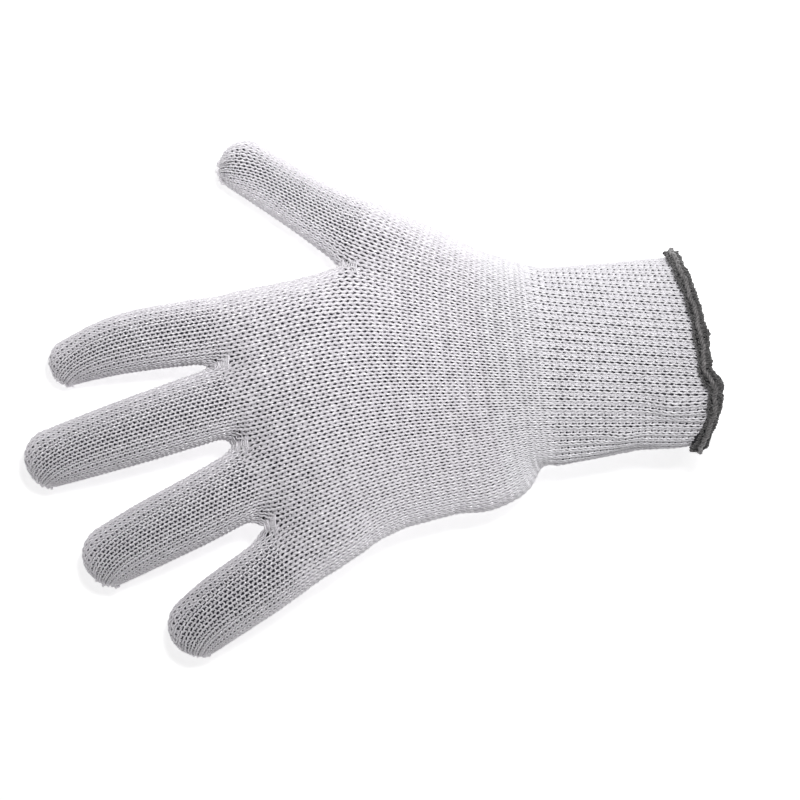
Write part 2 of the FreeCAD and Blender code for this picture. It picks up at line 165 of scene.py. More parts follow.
def digit_distance(p, line, radii):
    """Distance from points to a chain of tapering round tubes."""
    best = None
    for a, b, ra, rb in zip(line[:-1], line[1:], radii[:-1], radii[1:]):
        ab = b - a
        t = np.clip((p - a) @ ab / (ab @ ab), 0, 1)
        d = np.linalg.norm(p - a - t[:, None] * ab, axis=1) - (ra + (rb - ra) * t)
        best = d if best is None else np.minimum(best, d)
    return best


def soft_min(a, b, k):
    """Smaller of two distances, with a fillet of about k millimetres where they meet."""
    h = np.clip(k - np.abs(a - b), 0, None) / k
    return np.minimum(a, b) - h * h * k / 4


def palm_distance(p):
    """Distance from points to the cuff and palm, which follow OVALS."""
    turn = np.clip((-140.0 - p[:, 0]) / 20.0, 0, 1) * WEB_TURN
    x = p[:, 0] + (p[:, 1] - WEB_CENTRE_Y) * turn
    at = np.clip(x, OVALS[0, 0], OVALS[-1, 0])
    cy, cz, w, h = (np.interp(at, OVALS[:, 0], OVALS[:, k]) for k in (1, 2, 3, 4))
    y, z = (p[:, 1] - cy) / w, (p[:, 2] - cz) / h
    q = np.sqrt(y * y + z * z) + 1e-6
    slope = np.sqrt((y / w) ** 2 + (z / h) ** 2) / q + 1e-6
    side = (q - 1) / slope
    return np.sqrt(np.clip(side, 0, None) ** 2 + (x - at) ** 2) + np.minimum(side, 0)


# soft swellings on the little finger's side of the heel: centre and radius
SWELLINGS = [
    ((-84.0, -33.5, -11.5), 12.8),
    ((-75.5, -31.5, -12.0), 12.6),
]


def form_distance(p):
    """Distance from points to the whole form, negative inside it."""
    fingers = None
    for name in FINGERS:
        d = digit_distance(p, *LINES[name])
        fingers = d if fingers is None else soft_min(fingers, d, 2.2)
    body = soft_min(palm_distance(p), fingers, 6.0)
    for centre, radius in SWELLINGS:
        d = np.linalg.norm(p - np.array(centre), axis=1) - radius
        body = soft_min(body, d, 5.0)
    body = soft_min(body, digit_distance(p, *LINES["thumb"]), 8.0)
    return body + creases(p)


# shallow folds of the knit: middle of the fold, direction, half length, width and depth;
# a negative depth is a ridge
CREASES = [
    ((-19.0, -9.0, 19.8), (1.0, 0.22, 0.1), 11.0, 2.6, 2.3),
    ((-16.0, -25.5, 14.0), (1.0, -0.25, 0.1), 9.0, 2.4, 2.0),
    ((-13.0, -17.5, 18.0), (1.0, -0.1, 0.0), 8.0, 5.5, -2.8),
    ((-33.0, -27.0, 9.0), (1.0, 0.3, 0.1), 7.0, 3.0, -1.5),
    ((-30.0, -33.0, 0.0), (1.0, 0.1, 0.2), 7.0, 3.0, 1.6),
    ((-60.5, -34.0, -6.0), (0.0, 0.1, 1.0), 12.0, 3.0, 1.5),
]


def creases(p):
    """How far the folds push the form's surface in at each point."""
    total = np.zeros(len(p))
    for centre, along, length, width, depth in CREASES:
        off = p - np.array(centre)
        along = unit(np.array(along, float))
        s = off @ along
        rest = off - s[:, None] * along
        aside = np.linalg.norm(rest, axis=1)
        total += depth * np.exp(-(s / length) ** 2 - (aside / width) ** 2)
    return total


TETRA = np.array([[1, 1, 1], [1, -1, -1], [-1, 1, -1], [-1, -1, 1]], float)
STEP = 0.25


def gradient(p):
    total = np.zeros_like(p)
    for corner in TETRA:
        total += form_distance(p + corner * STEP)[:, None] * corner
    return total / (4 * STEP)


def settle(p, level, rounds=1):
    """Points moved onto the form's surface, drawn in by level."""
    for _ in range(rounds):
        g = gradient(p)
        d = form_distance(p) + level
        p = p - g * (d / np.maximum((g * g).sum(1), 0.2))[:, None]
    return p


# ------------ the net of stitches

CUFF_ROWS = 24
LOWER_ROWS = 29
UPPER_ROWS = 20
# columns on the back of each finger and on half the thumb, and columns of a crotch
DORSAL = {"index": 9, "middle": 10, "ring": 10, "little": 11}
THUMB_HALF = 12
WEB = 4
HALF = sum(DORSAL.values())
LOWER_COLUMNS = 2 * (THUMB_HALF + HALF)
UPPER_COLUMNS = 2 * HALF + WEB
# heights of a row
CUFF_PITCH = 2.2
PALM_PITCH = 2.15
FINGER_PITCH = 1.72
# depth of the yarn's middle under the form's surface
MID_SURFACE = 0.95

nodes = []
pinned = []


def new_nodes(points, fixed=False):
    """Adds points to the net and gives their numbers."""
    first = sum(len(n) for n in nodes)
    points = np.asarray(points, float).reshape(-1, 3)
    nodes.append(points)
    pinned.append(np.full(len(points), fixed))
    return np.arange(first, first + len(points))


def arc(centre, width, height, start, end, count, side=(0, 1, 0)):
    """Evenly spaced points on part of an ellipse, angles in degrees from its side."""
    fine = np.radians(np.linspace(start, end, 400))
    flat = np.c_[np.cos(fine) * width, np.sin(fine) * height]
    run = run_length(flat)
    at = np.interp((np.arange(count) + 0.5) / count * run[-1], run, fine)
    return (np.array(centre) + np.cos(at)[:, None] * width * np.array(side, float)
            + np.sin(at)[:, None] * height * UP)


def oval_at(x):
    """Centre y, centre z, half width and half height of the palm at a station."""
    return [float(np.interp(x, OVALS[:, 0], OVALS[:, k])) for k in (1, 2, 3, 4)]


def between(loops, rows):
    """Rows of points that pass evenly through a list of (row, loop)."""
    out = []
    for row in range(rows):
        k = max(i for i in range(len(loops) - 1) if loops[i][0] <= row)
        (a, first), (b, second) = loops[k], loops[k + 1]
        t = (row - a) / (b - a)
        out.append(first + (second - first) * t)
    return np.array(out)


def smooth(t):
    """Smooth step from 0 to 1."""
    t = np.clip(t, 0, 1)
    return t * t * (3 - 2 * t)


def rim_x(angle):
    """Station of the cuff's rim round the wrist: further out over the back and the palm
    side, with a step where the ends of its binding overlap."""
    turn = np.degrees(angle) % 360
    step = smooth((turn - 102) / 16) * (1 - smooth((turn - 128) / 48))
    return -7.4 + 5.6 * np.sin(angle) ** 2 + 3.6 * step


def rim(angle, out=0.0, forward=0.0):
    """Point near the cuff's rim: out from its middle surface, forward past its end."""
    angle = np.asarray(angle, float)
    cos, sin = np.cos(angle), np.sin(angle)
    away = np.stack([0 * cos, cos / RIM_HALF[0], sin / RIM_HALF[1]], -1)
    away = unit(away)
    base = np.stack([rim_x(angle) + forward, cos * RIM_HALF[0], RIM_Z + sin * RIM_HALF[1]], -1)
    return base + away * np.asarray(out)[..., None], away


def rim_spread(count, offset=0.0):
    """Angles at even steps round the rim, from offset millimetres past the thumb side."""
    fine = np.linspace(0, 2 * math.pi, 1441)
    flat = np.c_[np.cos(fine) * RIM_HALF[0], np.sin(fine) * RIM_HALF[1]]
    run = run_length(flat)
    goal = (np.arange(count) + 0.5) / count * run[-1] + offset
    return np.interp(goal % run[-1], run, fine)


# lower tube: cuff and palm up to the thumb's crotch, its columns turned as it is worn
WRIST_TURN = 9.0
MOUTH_OFFSET = 13.0
THUMB_MOUTH_RADIUS = 13.0
SPLIT_X = -119.5
mouth = rim(rim_spread(LOWER_COLUMNS, MOUTH_OFFSET))[0]
cy, cz, w, h = oval_at(WRIST_X)
wrist = arc((WRIST_X, cy, cz), w, h, WRIST_TURN, 360 + WRIST_TURN, LOWER_COLUMNS)
cy, cz, w, h = oval_at(SPLIT_X + 0.5)
thumb_side = np.cross(THUMB_DIR, UP)
thumb_mid = THUMB_BALL + THUMB_DIR * 38.0
thumb_mid[2] = FLOOR_Z + THUMB_MOUTH_RADIUS
thumb_mouth = (thumb_mid, THUMB_MOUTH_RADIUS, THUMB_MOUTH_RADIUS)
split = np.concatenate([
    arc(*thumb_mouth, 0, 150, THUMB_HALF, side=thumb_side),
    arc((SPLIT_X, cy, cz), w, h, 20, 180, HALF),
    arc((SPLIT_X, cy, cz), w, h, 180, 340, HALF),
    arc(*thumb_mouth, 210, 360, THUMB_HALF, side=thumb_side),
])
rows = CUFF_ROWS + LOWER_ROWS
points = between([(0, mouth), (CUFF_ROWS, wrist), (rows, split)], rows)
lower = new_nodes(points).reshape(rows, LOWER_COLUMNS)

# the crotches, each a short line of nodes from the back of the hand to the palm side
web_line = np.array([[-121.5, 47.0, z] for z in np.linspace(-9.0, -19.0, WEB)])
WEBS = {"thumb": new_nodes(settle(web_line, MID_SURFACE, 6), True)}
CROTCHES = {"index": (-167.4, 16.2), "middle": (-167.3, -12.2), "ring": (-158.4, -40.3)}
for name, (x, y) in CROTCHES.items():
    line = np.array([[x, y, z] for z in np.linspace(-3.5, -13.5, WEB)])
    WEBS[name] = new_nodes(settle(line, MID_SURFACE, 6), True)

# upper tube: palm from the thumb's crotch to the finger crotches
above_thumb = ((-122.0, cy, cz), w, h)
start_loop = np.concatenate([arc(*above_thumb, 12, 180, HALF),
                             arc(*above_thumb, 180, 348, HALF),
                             arc(*above_thumb, 348, 372, WEB)])
# the palm's y at its sides and at the finger crotches
edges_y = [39.0, 16.2, -11.8, -40.3, -66.0]
half_y = np.concatenate([
    np.linspace(edges_y[k], edges_y[k + 1], 2 * n + 1)[1::2]
    for k, n in enumerate(DORSAL.values())])


def end_loop_point(y, top):
    """Point of the palm's last row, on the back of the hand or under it."""
    x = -163.5 - (y - WEB_CENTRE_Y) * WEB_TURN
    rise = 12.0 * math.sqrt(max(0.05, 1 - ((y + 13.0) / 56.0) ** 2))
    return [x, y, -7.6 + (rise if top else -rise)]


end_loop = np.array([end_loop_point(y, True) for y in half_y]
                    + [end_loop_point(y, False) for y in half_y[::-1]]
                    + [[-168.0, 40.5, z] for z in np.linspace(-12.0, -3.0, WEB)])
points = between([(0, start_loop), (UPPER_ROWS, end_loop)], UPPER_ROWS)
upper = np.empty((UPPER_ROWS, UPPER_COLUMNS), int)
upper[:, :2 * HALF] = new_nodes(points[:, :2 * HALF]).reshape(UPPER_ROWS, -1)
upper[1:, 2 * HALF:] = new_nodes(points[1:, 2 * HALF:]).reshape(UPPER_ROWS - 1, -1)
upper[0, 2 * HALF:] = WEBS["thumb"][::-1]


# the slit that closes a digit: turned towards the little finger's side, and lowered;
# length of the closing dome in radii, and how far its ring bends over
SEAM_TURN = math.radians(44.0)
SEAM_DROP = 0.04
DOME_LENGTH = 1.35
DOME_TURN = math.radians(78.0)


def digit_rows(line, radii, first, angles, pitch):
    """Rings of points from distance first along a digit's line to its closing slit."""
    run = run_length(line)

    def at(s):
        return np.array([np.interp(s, run, line[:, a]) for a in range(3)])

    dome = radii[-1] * DOME_LENGTH
    count = int(round((run[-1] - first + dome) / pitch))
    out = []
    for k in range(count):
        s = first + (run[-1] - first + dome) * k / (count - 1)
        on = min(s, run[-1])
        centre = at(on)
        along = unit(at(min(on + 2, run[-1])) - at(on - 2))
        side = unit(np.cross(along, UP))
        top = np.cross(side, along)
        r = np.interp(on, run, radii)
        beyond = max(0.0, s - run[-1]) / dome
        turn = beyond * DOME_TURN
        swing = beyond * SEAM_TURN
        ahead = math.cos(swing) * along - math.sin(swing) * side
        side = math.cos(swing) * side + math.sin(swing) * along
        centre = centre + ahead * r * math.sin(turn) - top * r * SEAM_DROP * beyond
        flat = 1.0 - beyond
        ring = (centre + np.cos(angles)[:, None] * side * r * (0.62 + 0.38 * math.cos(turn))
                * max(math.cos(turn), 0.72)
                + np.sin(angles)[:, None] * top * r * max(math.cos(turn) * flat, 0.07))
        out.append(ring)
    return np.array(out), side, top


def ring_angles(total, offset):
    """Even angles round a digit, turned by offset columns."""
    return np.radians((np.arange(total) + offset) * 360.0 / total)


# distance along each digit's line to its first row
FIRST_ROW = {"index": 31.5, "middle": 30.5, "ring": 28.5, "little": 22.0}
THUMB_FIRST_ROW = 40.2

digits = {}
slits = {}
for name in ("thumb", "index", "middle", "ring", "little"):
    line, radii = LINES[name]
    control = CONTROL[name][0]
    if name == "thumb":
        total = 2 * THUMB_HALF + WEB
        angles = ring_angles(total, 0.5)
        first = np.linalg.norm(control[1] - control[0]) + THUMB_FIRST_ROW
    else:
        total = 2 * DORSAL[name] + (WEB if name == "little" else 2 * WEB)
        angles = ring_angles(total, 0.5 - WEB / 2)
        first = FIRST_ROW[name]
    points, side, top = digit_rows(line, radii, first, angles, FINGER_PITCH)
    count = len(points)
    grid = np.empty((count, total), int)
    grid[1:] = new_nodes(points[1:]).reshape(count - 1, total)
    pinned[-1][-total:] = True
    shared = np.zeros(total, bool)
    if name == "thumb":
        shared[THUMB_HALF:THUMB_HALF + WEB] = True
        grid[0, THUMB_HALF:THUMB_HALF + WEB] = WEBS["thumb"]
    else:
        before = {"middle": "index", "ring": "middle", "little": "ring"}.get(name)
        if before:
            grid[0, :WEB] = WEBS[before][::-1]
            shared[:WEB] = True
        if name in WEBS:
            a = WEB + DORSAL[name]
            grid[0, a:a + WEB] = WEBS[name]
            shared[a:a + WEB] = True
    grid[0, ~shared] = new_nodes(points[0][~shared])
    digits[name] = grid
    slits[name] = (side, top)

# the node that each column of a tube carries on from, and the node it leads to
before_row = {}
after_lower = np.empty(LOWER_COLUMNS, int)
after_upper = np.empty(UPPER_COLUMNS, int)
thumb = digits["thumb"]
thumb_before = np.full(thumb.shape[1], -1)
thumb_before[:THUMB_HALF] = lower[-1, :THUMB_HALF]
thumb_before[-THUMB_HALF:] = lower[-1, -THUMB_HALF:]
thumb_before[THUMB_HALF:THUMB_HALF + WEB] = upper[1, 2 * HALF:][::-1]
before_row["thumb"] = thumb_before
after_lower[:THUMB_HALF] = thumb[0, :THUMB_HALF]
after_lower[-THUMB_HALF:] = thumb[0, -THUMB_HALF:]
after_lower[THUMB_HALF:-THUMB_HALF] = upper[0, :2 * HALF]
before_upper = np.empty(UPPER_COLUMNS, int)
before_upper[:2 * HALF] = lower[-1, THUMB_HALF:-THUMB_HALF]
before_upper[2 * HALF:] = thumb[1, THUMB_HALF:THUMB_HALF + WEB][::-1]
names = list(DORSAL)
start = 0
for name in names:
    n = DORSAL[name]
    grid = digits[name]
    row = np.full(grid.shape[1], -1)
    back = slice(start, start + n)
    front = slice(2 * HALF - start - n, 2 * HALF - start)
    row[WEB:WEB + n] = upper[-1, back]
    row[-n:] = upper[-1, front]
    after_upper[back] = grid[0, WEB:WEB + n]
    after_upper[front] = grid[0, -n:]
    if name == "index":
        row[:WEB] = upper[-1, 2 * HALF:]
        after_upper[2 * HALF:] = grid[0, :WEB]
    before_row[name] = row
    start += n
for name, after in zip(names, names[1:]):
    a = WEB + DORSAL[name]
    before_row[name][a:a + WEB] = digits[after][1, :WEB][::-1]
    before_row[after][:WEB] = digits[name][1, a:a + WEB][::-1]

# ------------ relaxing the net

# springs: pull along a row, against 1 / pitch from row to row
ALONG_ROW = 0.42
RELAX_ROUNDS = 160
RELAX_SHARE = 0.85
WRIST_SHARE = 0.2

P = np.concatenate(nodes)
fixed = np.concatenate(pinned)
fixed[lower[0]] = True
links = []


def link(a, b, pull):
    links.append((a.ravel(), b.ravel(), np.full(a.size, pull)))


def link_grid(grid, pitch):
    link(grid, np.roll(grid, -1, axis=1), ALONG_ROW)
    link(grid[:-1], grid[1:], 1.0 / pitch)


link_grid(lower[:CUFF_ROWS + 1], CUFF_PITCH)
link_grid(lower[CUFF_ROWS:], PALM_PITCH)
link_grid(upper, PALM_PITCH)
from_palm = slice(0, 2 * HALF)
link(before_upper[from_palm], upper[0, from_palm], 1 / PALM_PITCH)
for name, grid in digits.items():
    link_grid(grid, FINGER_PITCH)
    good = ~np.isin(grid[0], np.concatenate(list(WEBS.values())))
    link(before_row[name][good], grid[0, good], 1 / FINGER_PITCH)
A = np.concatenate([x[0] for x in links])
B = np.concatenate([x[1] for x in links])
PULL = np.concatenate([x[2] for x in links])
count = len(P)
weight = np.bincount(A, PULL, count) + np.bincount(B, PULL, count)
P = settle(P, MID_SURFACE, 3)
free = ~fixed
wrist_row = lower[CUFF_ROWS]
for turn in range(RELAX_ROUNDS):
    total = np.empty_like(P)
    for k in range(3):
        total[:, k] = (np.bincount(A, PULL * P[B, k], count)
                       + np.bincount(B, PULL * P[A, k], count))
    goal = total / weight[:, None]
    P[free] += RELAX_SHARE * (goal[free] - P[free])
    P[wrist_row, 0] += WRIST_SHARE * (WRIST_X - P[wrist_row, 0])
    if turn % 2 == 1:
        P[free] = settle(P[free], MID_SURFACE)
P[free] = settle(P[free], MID_SURFACE, 2)
N = unit(gradient(P))

# ------------ yarn

# points of a stitch along its yarn, sides of the yarn, width of a full stitch, and turn
# along the stitch
SAMPLES = 12
SIDES = 5
FULL_WIDTH = 2.2
T = np.arange(SAMPLES) / SAMPLES * 2 * math.pi


def padded(grid, before, after):
    """Positions and normals of a grid with one more row at each end."""
    p = P[grid]
    n = N[grid]
    first = P[before] if before is not None else 2 * p[0] - p[1]
    last = P[after] if after is not None else 2 * p[-1] - p[-2]
    first_n = N[before] if before is not None else n[0]
    last_n = N[after] if after is not None else n[-1]
    return (np.concatenate([first[None], p, last[None]]),
            np.concatenate([first_n[None], n, last_n[None]]))


class Knit:
    """Yarn path of every row of a tube. Lean, reach and depth shape the loop, in parts of
    a stitch's width and row and in millimetres; rib lowers the purl columns of the rows
    up to rib_rows."""

    def __init__(self, grid, before, after, lean=0.21, reach=0.84, depth=0.42,
                 radius=0.385, rib=0.0, rib_rows=0):
        p, n = padded(grid, before, after)
        mid, east, west = p[1:-1], np.roll(p, -1, 1)[1:-1], np.roll(p, 1, 1)[1:-1]
        north, south = p[2:], p[:-2]
        ne, nw = np.roll(p, -1, 1)[2:], np.roll(p, 1, 1)[2:]
        se, sw = np.roll(p, -1, 1)[:-2], np.roll(p, 1, 1)[:-2]
        rows, cols = grid.shape
        wobble = rng.normal(0, 1, (rows, cols, 4))
        if after is None:
            # the last rows of a digit are drawn together unevenly
            uneven = np.clip((np.arange(rows) - (rows - 9)) / 6.0, 0, 1)
            wobble *= (1 + 2.2 * uneven)[:, None, None]
        x = T / (2 * math.pi) - 0.5 + lean * np.sin(2 * T)
        y = -reach * np.cos(T)
        z = np.broadcast_to(-np.cos(2 * T), (rows, cols, SAMPLES))
        x = x + wobble[..., :1] * 0.02 * np.sin(T / 2)
        y = y + wobble[..., 1:2] * 0.035
        if after is None:
            # the last loops are bound off and don't reach past their seam
            y[-1] = np.minimum(y[-1], 0.1)
        wave = np.clip(np.sin(T / 2), 0, 1) ** 0.6
        ridge = np.zeros((rows, cols, 1))
        if rib:
            share = np.clip((rib_rows - np.arange(rows)) / 3.0, 0, 1)[:, None]
            purl = (np.arange(cols) % 2 == 1)[None, :]
            ridge[..., 0] = np.where(purl, -rib, 0.0) * share
            x = x * np.where(purl, 1 - share / 3, 1 + share / 3)[..., None]
            # a purl stitch shows its arcs instead of its legs
            z = z * np.where(purl, 1 - 1.7 * share, 1.0)[..., None]
        z = z * (depth + wobble[..., 2:3] * 0.03) + ridge * wave
        if rib:
            z = z.reshape(rows, -1)
            z = np.where(share > 0, (np.roll(z, 1, 1) + z + np.roll(z, -1, 1)) / 3, z)
            z = z.reshape(rows, cols, SAMPLES)
        X, Y = x[..., None], np.broadcast_to(y, (rows, cols, SAMPLES))[..., None]

        def e(a):
            return a[:, :, None, :]

        q = (e(mid) + X * e(east - west) / 2 + X * X / 2 * e(east - 2 * mid + west)
             + Y * e(north - south) / 2 + Y * Y / 2 * e(north - 2 * mid + south)
             + X * Y / 4 * e(ne - nw - se + sw))
        nm = n[1:-1]
        ndx = (np.roll(n, -1, 1)[1:-1] - np.roll(n, 1, 1)[1:-1]) / 2
        ndy = (n[2:] - n[:-2]) / 2
        normal = unit(e(nm) + X * e(ndx) + Y * e(ndy))
        self.q = (q + normal * z[..., None]).reshape(rows, cols * SAMPLES, 3)
        self.normal = normal.reshape(rows, cols * SAMPLES, 3)
        # yarn packs thinner where the stitches are narrow
        width = np.linalg.norm(east - west, axis=-1) / 2
        packed = np.clip((width / FULL_WIDTH) ** 0.8, 0.7, 1.2)
        self.thick = radius * np.repeat(packed * (1 + 0.07 * wobble[..., 3]), SAMPLES, axis=1)

    def mesh(self, name, first, last):
        """Closed rings of yarn for rows first to last."""
        q, normal = self.q[first:last], self.normal[first:last]
        thick = self.thick[first:last, :, None]
        tangent = unit(np.roll(q, -1, 1) - np.roll(q, 1, 1))
        side = unit(np.cross(tangent, normal))
        top = np.cross(side, tangent)
        rows, length = q.shape[:2]
        turn = np.arange(SIDES) / SIDES * 2 * math.pi
        v = (q[:, :, None] + (np.cos(turn)[:, None] * side[:, :, None]
                              + np.sin(turn)[:, None] * top[:, :, None])
             * thick[..., None])
        index = np.arange(rows * length * SIDES).reshape(rows, length, SIDES)
        a = index
        b = np.roll(index, -1, 1)
        c = np.roll(b, -1, 2)
        d = np.roll(index, -1, 2)
        quads = np.stack([a, b, c, d], -1).reshape(-1, 4)
        u = np.broadcast_to((np.arange(length) / SAMPLES)[None, :, None],
                            (rows, length, SIDES))
        s = np.broadcast_to((np.arange(SIDES) / SIDES)[None, None, :],
                            (rows, length, SIDES))
        j = np.broadcast_to(np.arange(first, first + rows)[:, None, None] * 1.0,
                            (rows, length, SIDES))
        uv = []
        for du, ds in ((0, 0), (1, 0), (1, 1), (0, 1)):
            uv.append(np.stack([(u + du / SAMPLES), j + (s + ds / SIDES) * 0.9], -1))
        uv = np.stack(uv, 3).reshape(-1, 2)
        return make_mesh(name, v.reshape(-1, 3), [quads], uv)


def make_mesh(name, vertices, face_sets, uv=None):
    """Mesh object from vertices in millimetres and arrays of quads or triangles."""
    face_sets = [np.asarray(faces) for faces in face_sets]
    sizes = np.concatenate([np.full(len(f), f.shape[1]) for f in face_sets])
    loops = np.concatenate([f.ravel() for f in face_sets]).astype(np.int32)
    starts = (np.cumsum(sizes) - sizes).astype(np.int32)
    mesh = bpy.data.meshes.new(name)
    mesh.vertices.add(len(vertices))
    mesh.vertices.foreach_set("co", (np.asarray(vertices) * MM).astype(np.float32).ravel())
    mesh.loops.add(len(loops))
    mesh.loops.foreach_set("vertex_index", loops)
    mesh.polygons.add(len(sizes))
    mesh.polygons.foreach_set("loop_start", starts)
    mesh.polygons.foreach_set("use_smooth", np.full(len(sizes), True))
    if uv is not None:
        layer = mesh.uv_layers.new(name="yarn")
        layer.data.foreach_set("uv", uv.astype(np.float32).ravel())
    mesh.update()
    mesh.validate()
    obj = bpy.data.objects.new(name, mesh)
    bpy.context.scene.collection.objects.link(obj)
    return obj


def sleeve_nodes(grid, first, last, after):
    """Nodes of the rows from first to last, with the row that they lead to."""
    if last < len(grid):
        return grid[first:last + 1]
    return grid[first:] if after is None else np.concatenate([grid[first:], after[None]])


# heights of the two sides of the dark face of painted shade under the yarn, and of the lining
SHADE_FACE_OUTER = -0.9
SHADE_FACE_INNER = -1.4
LINING_LEVEL = -1.45


def shade_face_mesh(name, grid, first, last, after):
    """Closed sleeve of painted shade just under the yarn, from row first to row last."""
    ids = sleeve_nodes(grid, first, last, after)
    p, n = P[ids], N[ids]
    rows, cols = ids.shape
    v = np.concatenate([(p + n * SHADE_FACE_OUTER).reshape(-1, 3), (p + n * SHADE_FACE_INNER).reshape(-1, 3)])
    index = np.arange(rows * cols).reshape(rows, cols)
    a, b = index[:-1], np.roll(index, -1, 1)[:-1]
    c, d = np.roll(index, -1, 1)[1:], index[1:]
    out = np.stack([a, b, c, d], -1).reshape(-1, 4)
    off = rows * cols
    faces = [out, out[:, ::-1] + off]
    for edge, order in ((index[0], 1), (index[-1], -1)):
        nxt = np.roll(edge, -1)
        rim = np.stack([edge, edge + off, nxt + off, nxt], -1)[:, ::order]
        faces.append(rim)
    return make_mesh(name, v, [np.concatenate(faces)])


def lining_mesh(name, grid, first, last, after):
    """Back of the knit inside the glove, facing the hand; one unit of UV per stitch."""
    ids = sleeve_nodes(grid, first, last, after)
    rows, cols = ids.shape
    v = (P[ids] + N[ids] * LINING_LEVEL).reshape(-1, 3)
    index = np.arange(rows * cols).reshape(rows, cols)
    a, b = index[:-1], np.roll(index, -1, 1)[:-1]
    c, d = np.roll(index, -1, 1)[1:], index[1:]
    quads = np.stack([d, c, b, a], -1).reshape(-1, 4)
    j, i = np.mgrid[0:rows - 1, 0:cols]
    corners = ((0, 1), (1, 1), (1, 0), (0, 0))
    uv = np.stack([np.stack([i + du, j + dv], -1) for du, dv in corners], 2).reshape(-1, 2)
    return make_mesh(name, v, [quads], uv)


# ------------ materials


def node(tree, kind, **values):
    item = tree.nodes.new(kind)
    for key, value in values.items():
        if key in item.inputs:
            item.inputs[key].default_value = value
        else:
            setattr(item, key, value)
    return item


def ramp(tree, stops):
    item = tree.nodes.new("ShaderNodeValToRGB")
    elements = item.color_ramp.elements
    while len(elements) > 1:
        elements.remove(elements[-1])
    elements[0].position = stops[0][0]
    elements[0].color = (*stops[0][1], 1)
    for place, colour in stops[1:]:
        elements.new(place).color = (*colour, 1)
    return item


# strands round a yarn whose texture runs over nine tenths of a turn
STRANDS = 3.333


def new_material(name):
    mat = bpy.data.materials.new(name)
    mat.use_nodes = True
    return mat, mat.node_tree, mat.node_tree.nodes["Principled BSDF"]


def set_inputs(item, values):
    for key, value in values.items():
        item.inputs[key].default_value = value


def yarn_place(tree):
    """Texture coordinates, whole and split."""
    uv = node(tree, "ShaderNodeUVMap", uv_map="yarn").outputs["UV"]
    split = node(tree, "ShaderNodeSeparateXYZ")
    tree.links.new(uv, split.inputs[0])
    return uv, split.outputs["X"], split.outputs["Y"]


def math_node(tree, operation, source, factor=None, addend=None):
    """Math node fed by a socket; the addend may be a number or a socket."""
    item = tree.nodes.new("ShaderNodeMath")
    item.operation = operation
    tree.links.new(source, item.inputs[0])
    if factor is not None:
        item.inputs[1].default_value = factor
    if isinstance(addend, float):
        item.inputs[2].default_value = addend
    elif addend is not None:
        tree.links.new(addend, item.inputs[2])
    return item.outputs[0]


def show(tree, shader, value, stops, height, strength, distance):
    """Colour from a ramp over value, and a bump from height."""
    colours = ramp(tree, stops)
    tree.links.new(value, colours.inputs[0])
    tree.links.new(colours.outputs[0], shader.inputs["Base Color"])
    bump = node(tree, "ShaderNodeBump", Strength=strength, Distance=distance)
    tree.links.new(height, bump.inputs["Height"])
    tree.links.new(bump.outputs[0], shader.inputs["Normal"])


def yarn_material(name, stops, roughness, sheen, twist=3.0, strength=0.25, gloss=0.75):
    """Twisted multifilament yarn: strands from the yarn's own length and turn."""
    mat, tree, shader = new_material(name)
    set_inputs(shader, {"Roughness": roughness, "Sheen Weight": sheen,
                        "Sheen Roughness": 0.4, "Specular IOR Level": gloss})
    uv, along, turn = yarn_place(tree)
    turns = math_node(tree, "MULTIPLY", along, twist)
    around = math_node(tree, "MULTIPLY_ADD", turn, STRANDS, turns)
    strand = math_node(tree, "SINE", math_node(tree, "MULTIPLY", around, 2 * math.pi))
    noise = node(tree, "ShaderNodeTexNoise", Scale=1.7, Detail=3.0)
    tree.links.new(uv, noise.inputs["Vector"])
    fine = node(tree, "ShaderNodeTexNoise", Scale=14.0, Detail=2.0)
    tree.links.new(uv, fine.inputs["Vector"])
    value = math_node(tree, "MULTIPLY_ADD", noise.outputs["Fac"], 0.35, 0.225)
    # strands a little lighter on their crests and darker in the grooves between them: painted shade
    # that follows the bump
    value = math_node(tree, "MULTIPLY_ADD", strand, 0.07, value)
    value = math_node(tree, "MULTIPLY_ADD", fine.outputs["Fac"], 0.2, value)
    show(tree, shader, value, stops, strand, strength, 0.0002)
    return mat


def speckled(name, stops, roughness, scale, strength=0.4):
    """Matt surface with fine uneven colour: fibre for the binding's core, painted shade for the
    dark face under the yarn.
    """
    mat, tree, shader = new_material(name)
    set_inputs(shader, {"Roughness": roughness, "Specular IOR Level": 0.3})
    place = node(tree, "ShaderNodeTexCoord").outputs["Object"]
    noise = node(tree, "ShaderNodeTexNoise", Scale=scale, Detail=4.0, Roughness=0.6)
    tree.links.new(place, noise.inputs["Vector"])
    show(tree, shader, noise.outputs["Fac"], stops, noise.outputs["Fac"], strength, 0.0003)
    return mat


def lining_material(name, stops):
    """Back of plain knit: rows of half-round loops, with painted shade that darkens the hollows
    between them.
    """
    mat, tree, shader = new_material(name)
    set_inputs(shader, {"Roughness": 0.6})
    uv, across, up = yarn_place(tree)
    column, row = (math_node(tree, "COSINE", math_node(tree, "MULTIPLY", part, 2 * math.pi))
                   for part in (across, up))
    noise = node(tree, "ShaderNodeTexNoise", Scale=2.3, Detail=3.0)
    tree.links.new(uv, noise.inputs["Vector"])
    height = math_node(tree, "MULTIPLY_ADD", column, 0.14, noise.outputs["Fac"])
    height = math_node(tree, "MULTIPLY_ADD", row, 0.24, height)
    show(tree, shader, height, stops, height, 0.8, 0.0006)
    return mat


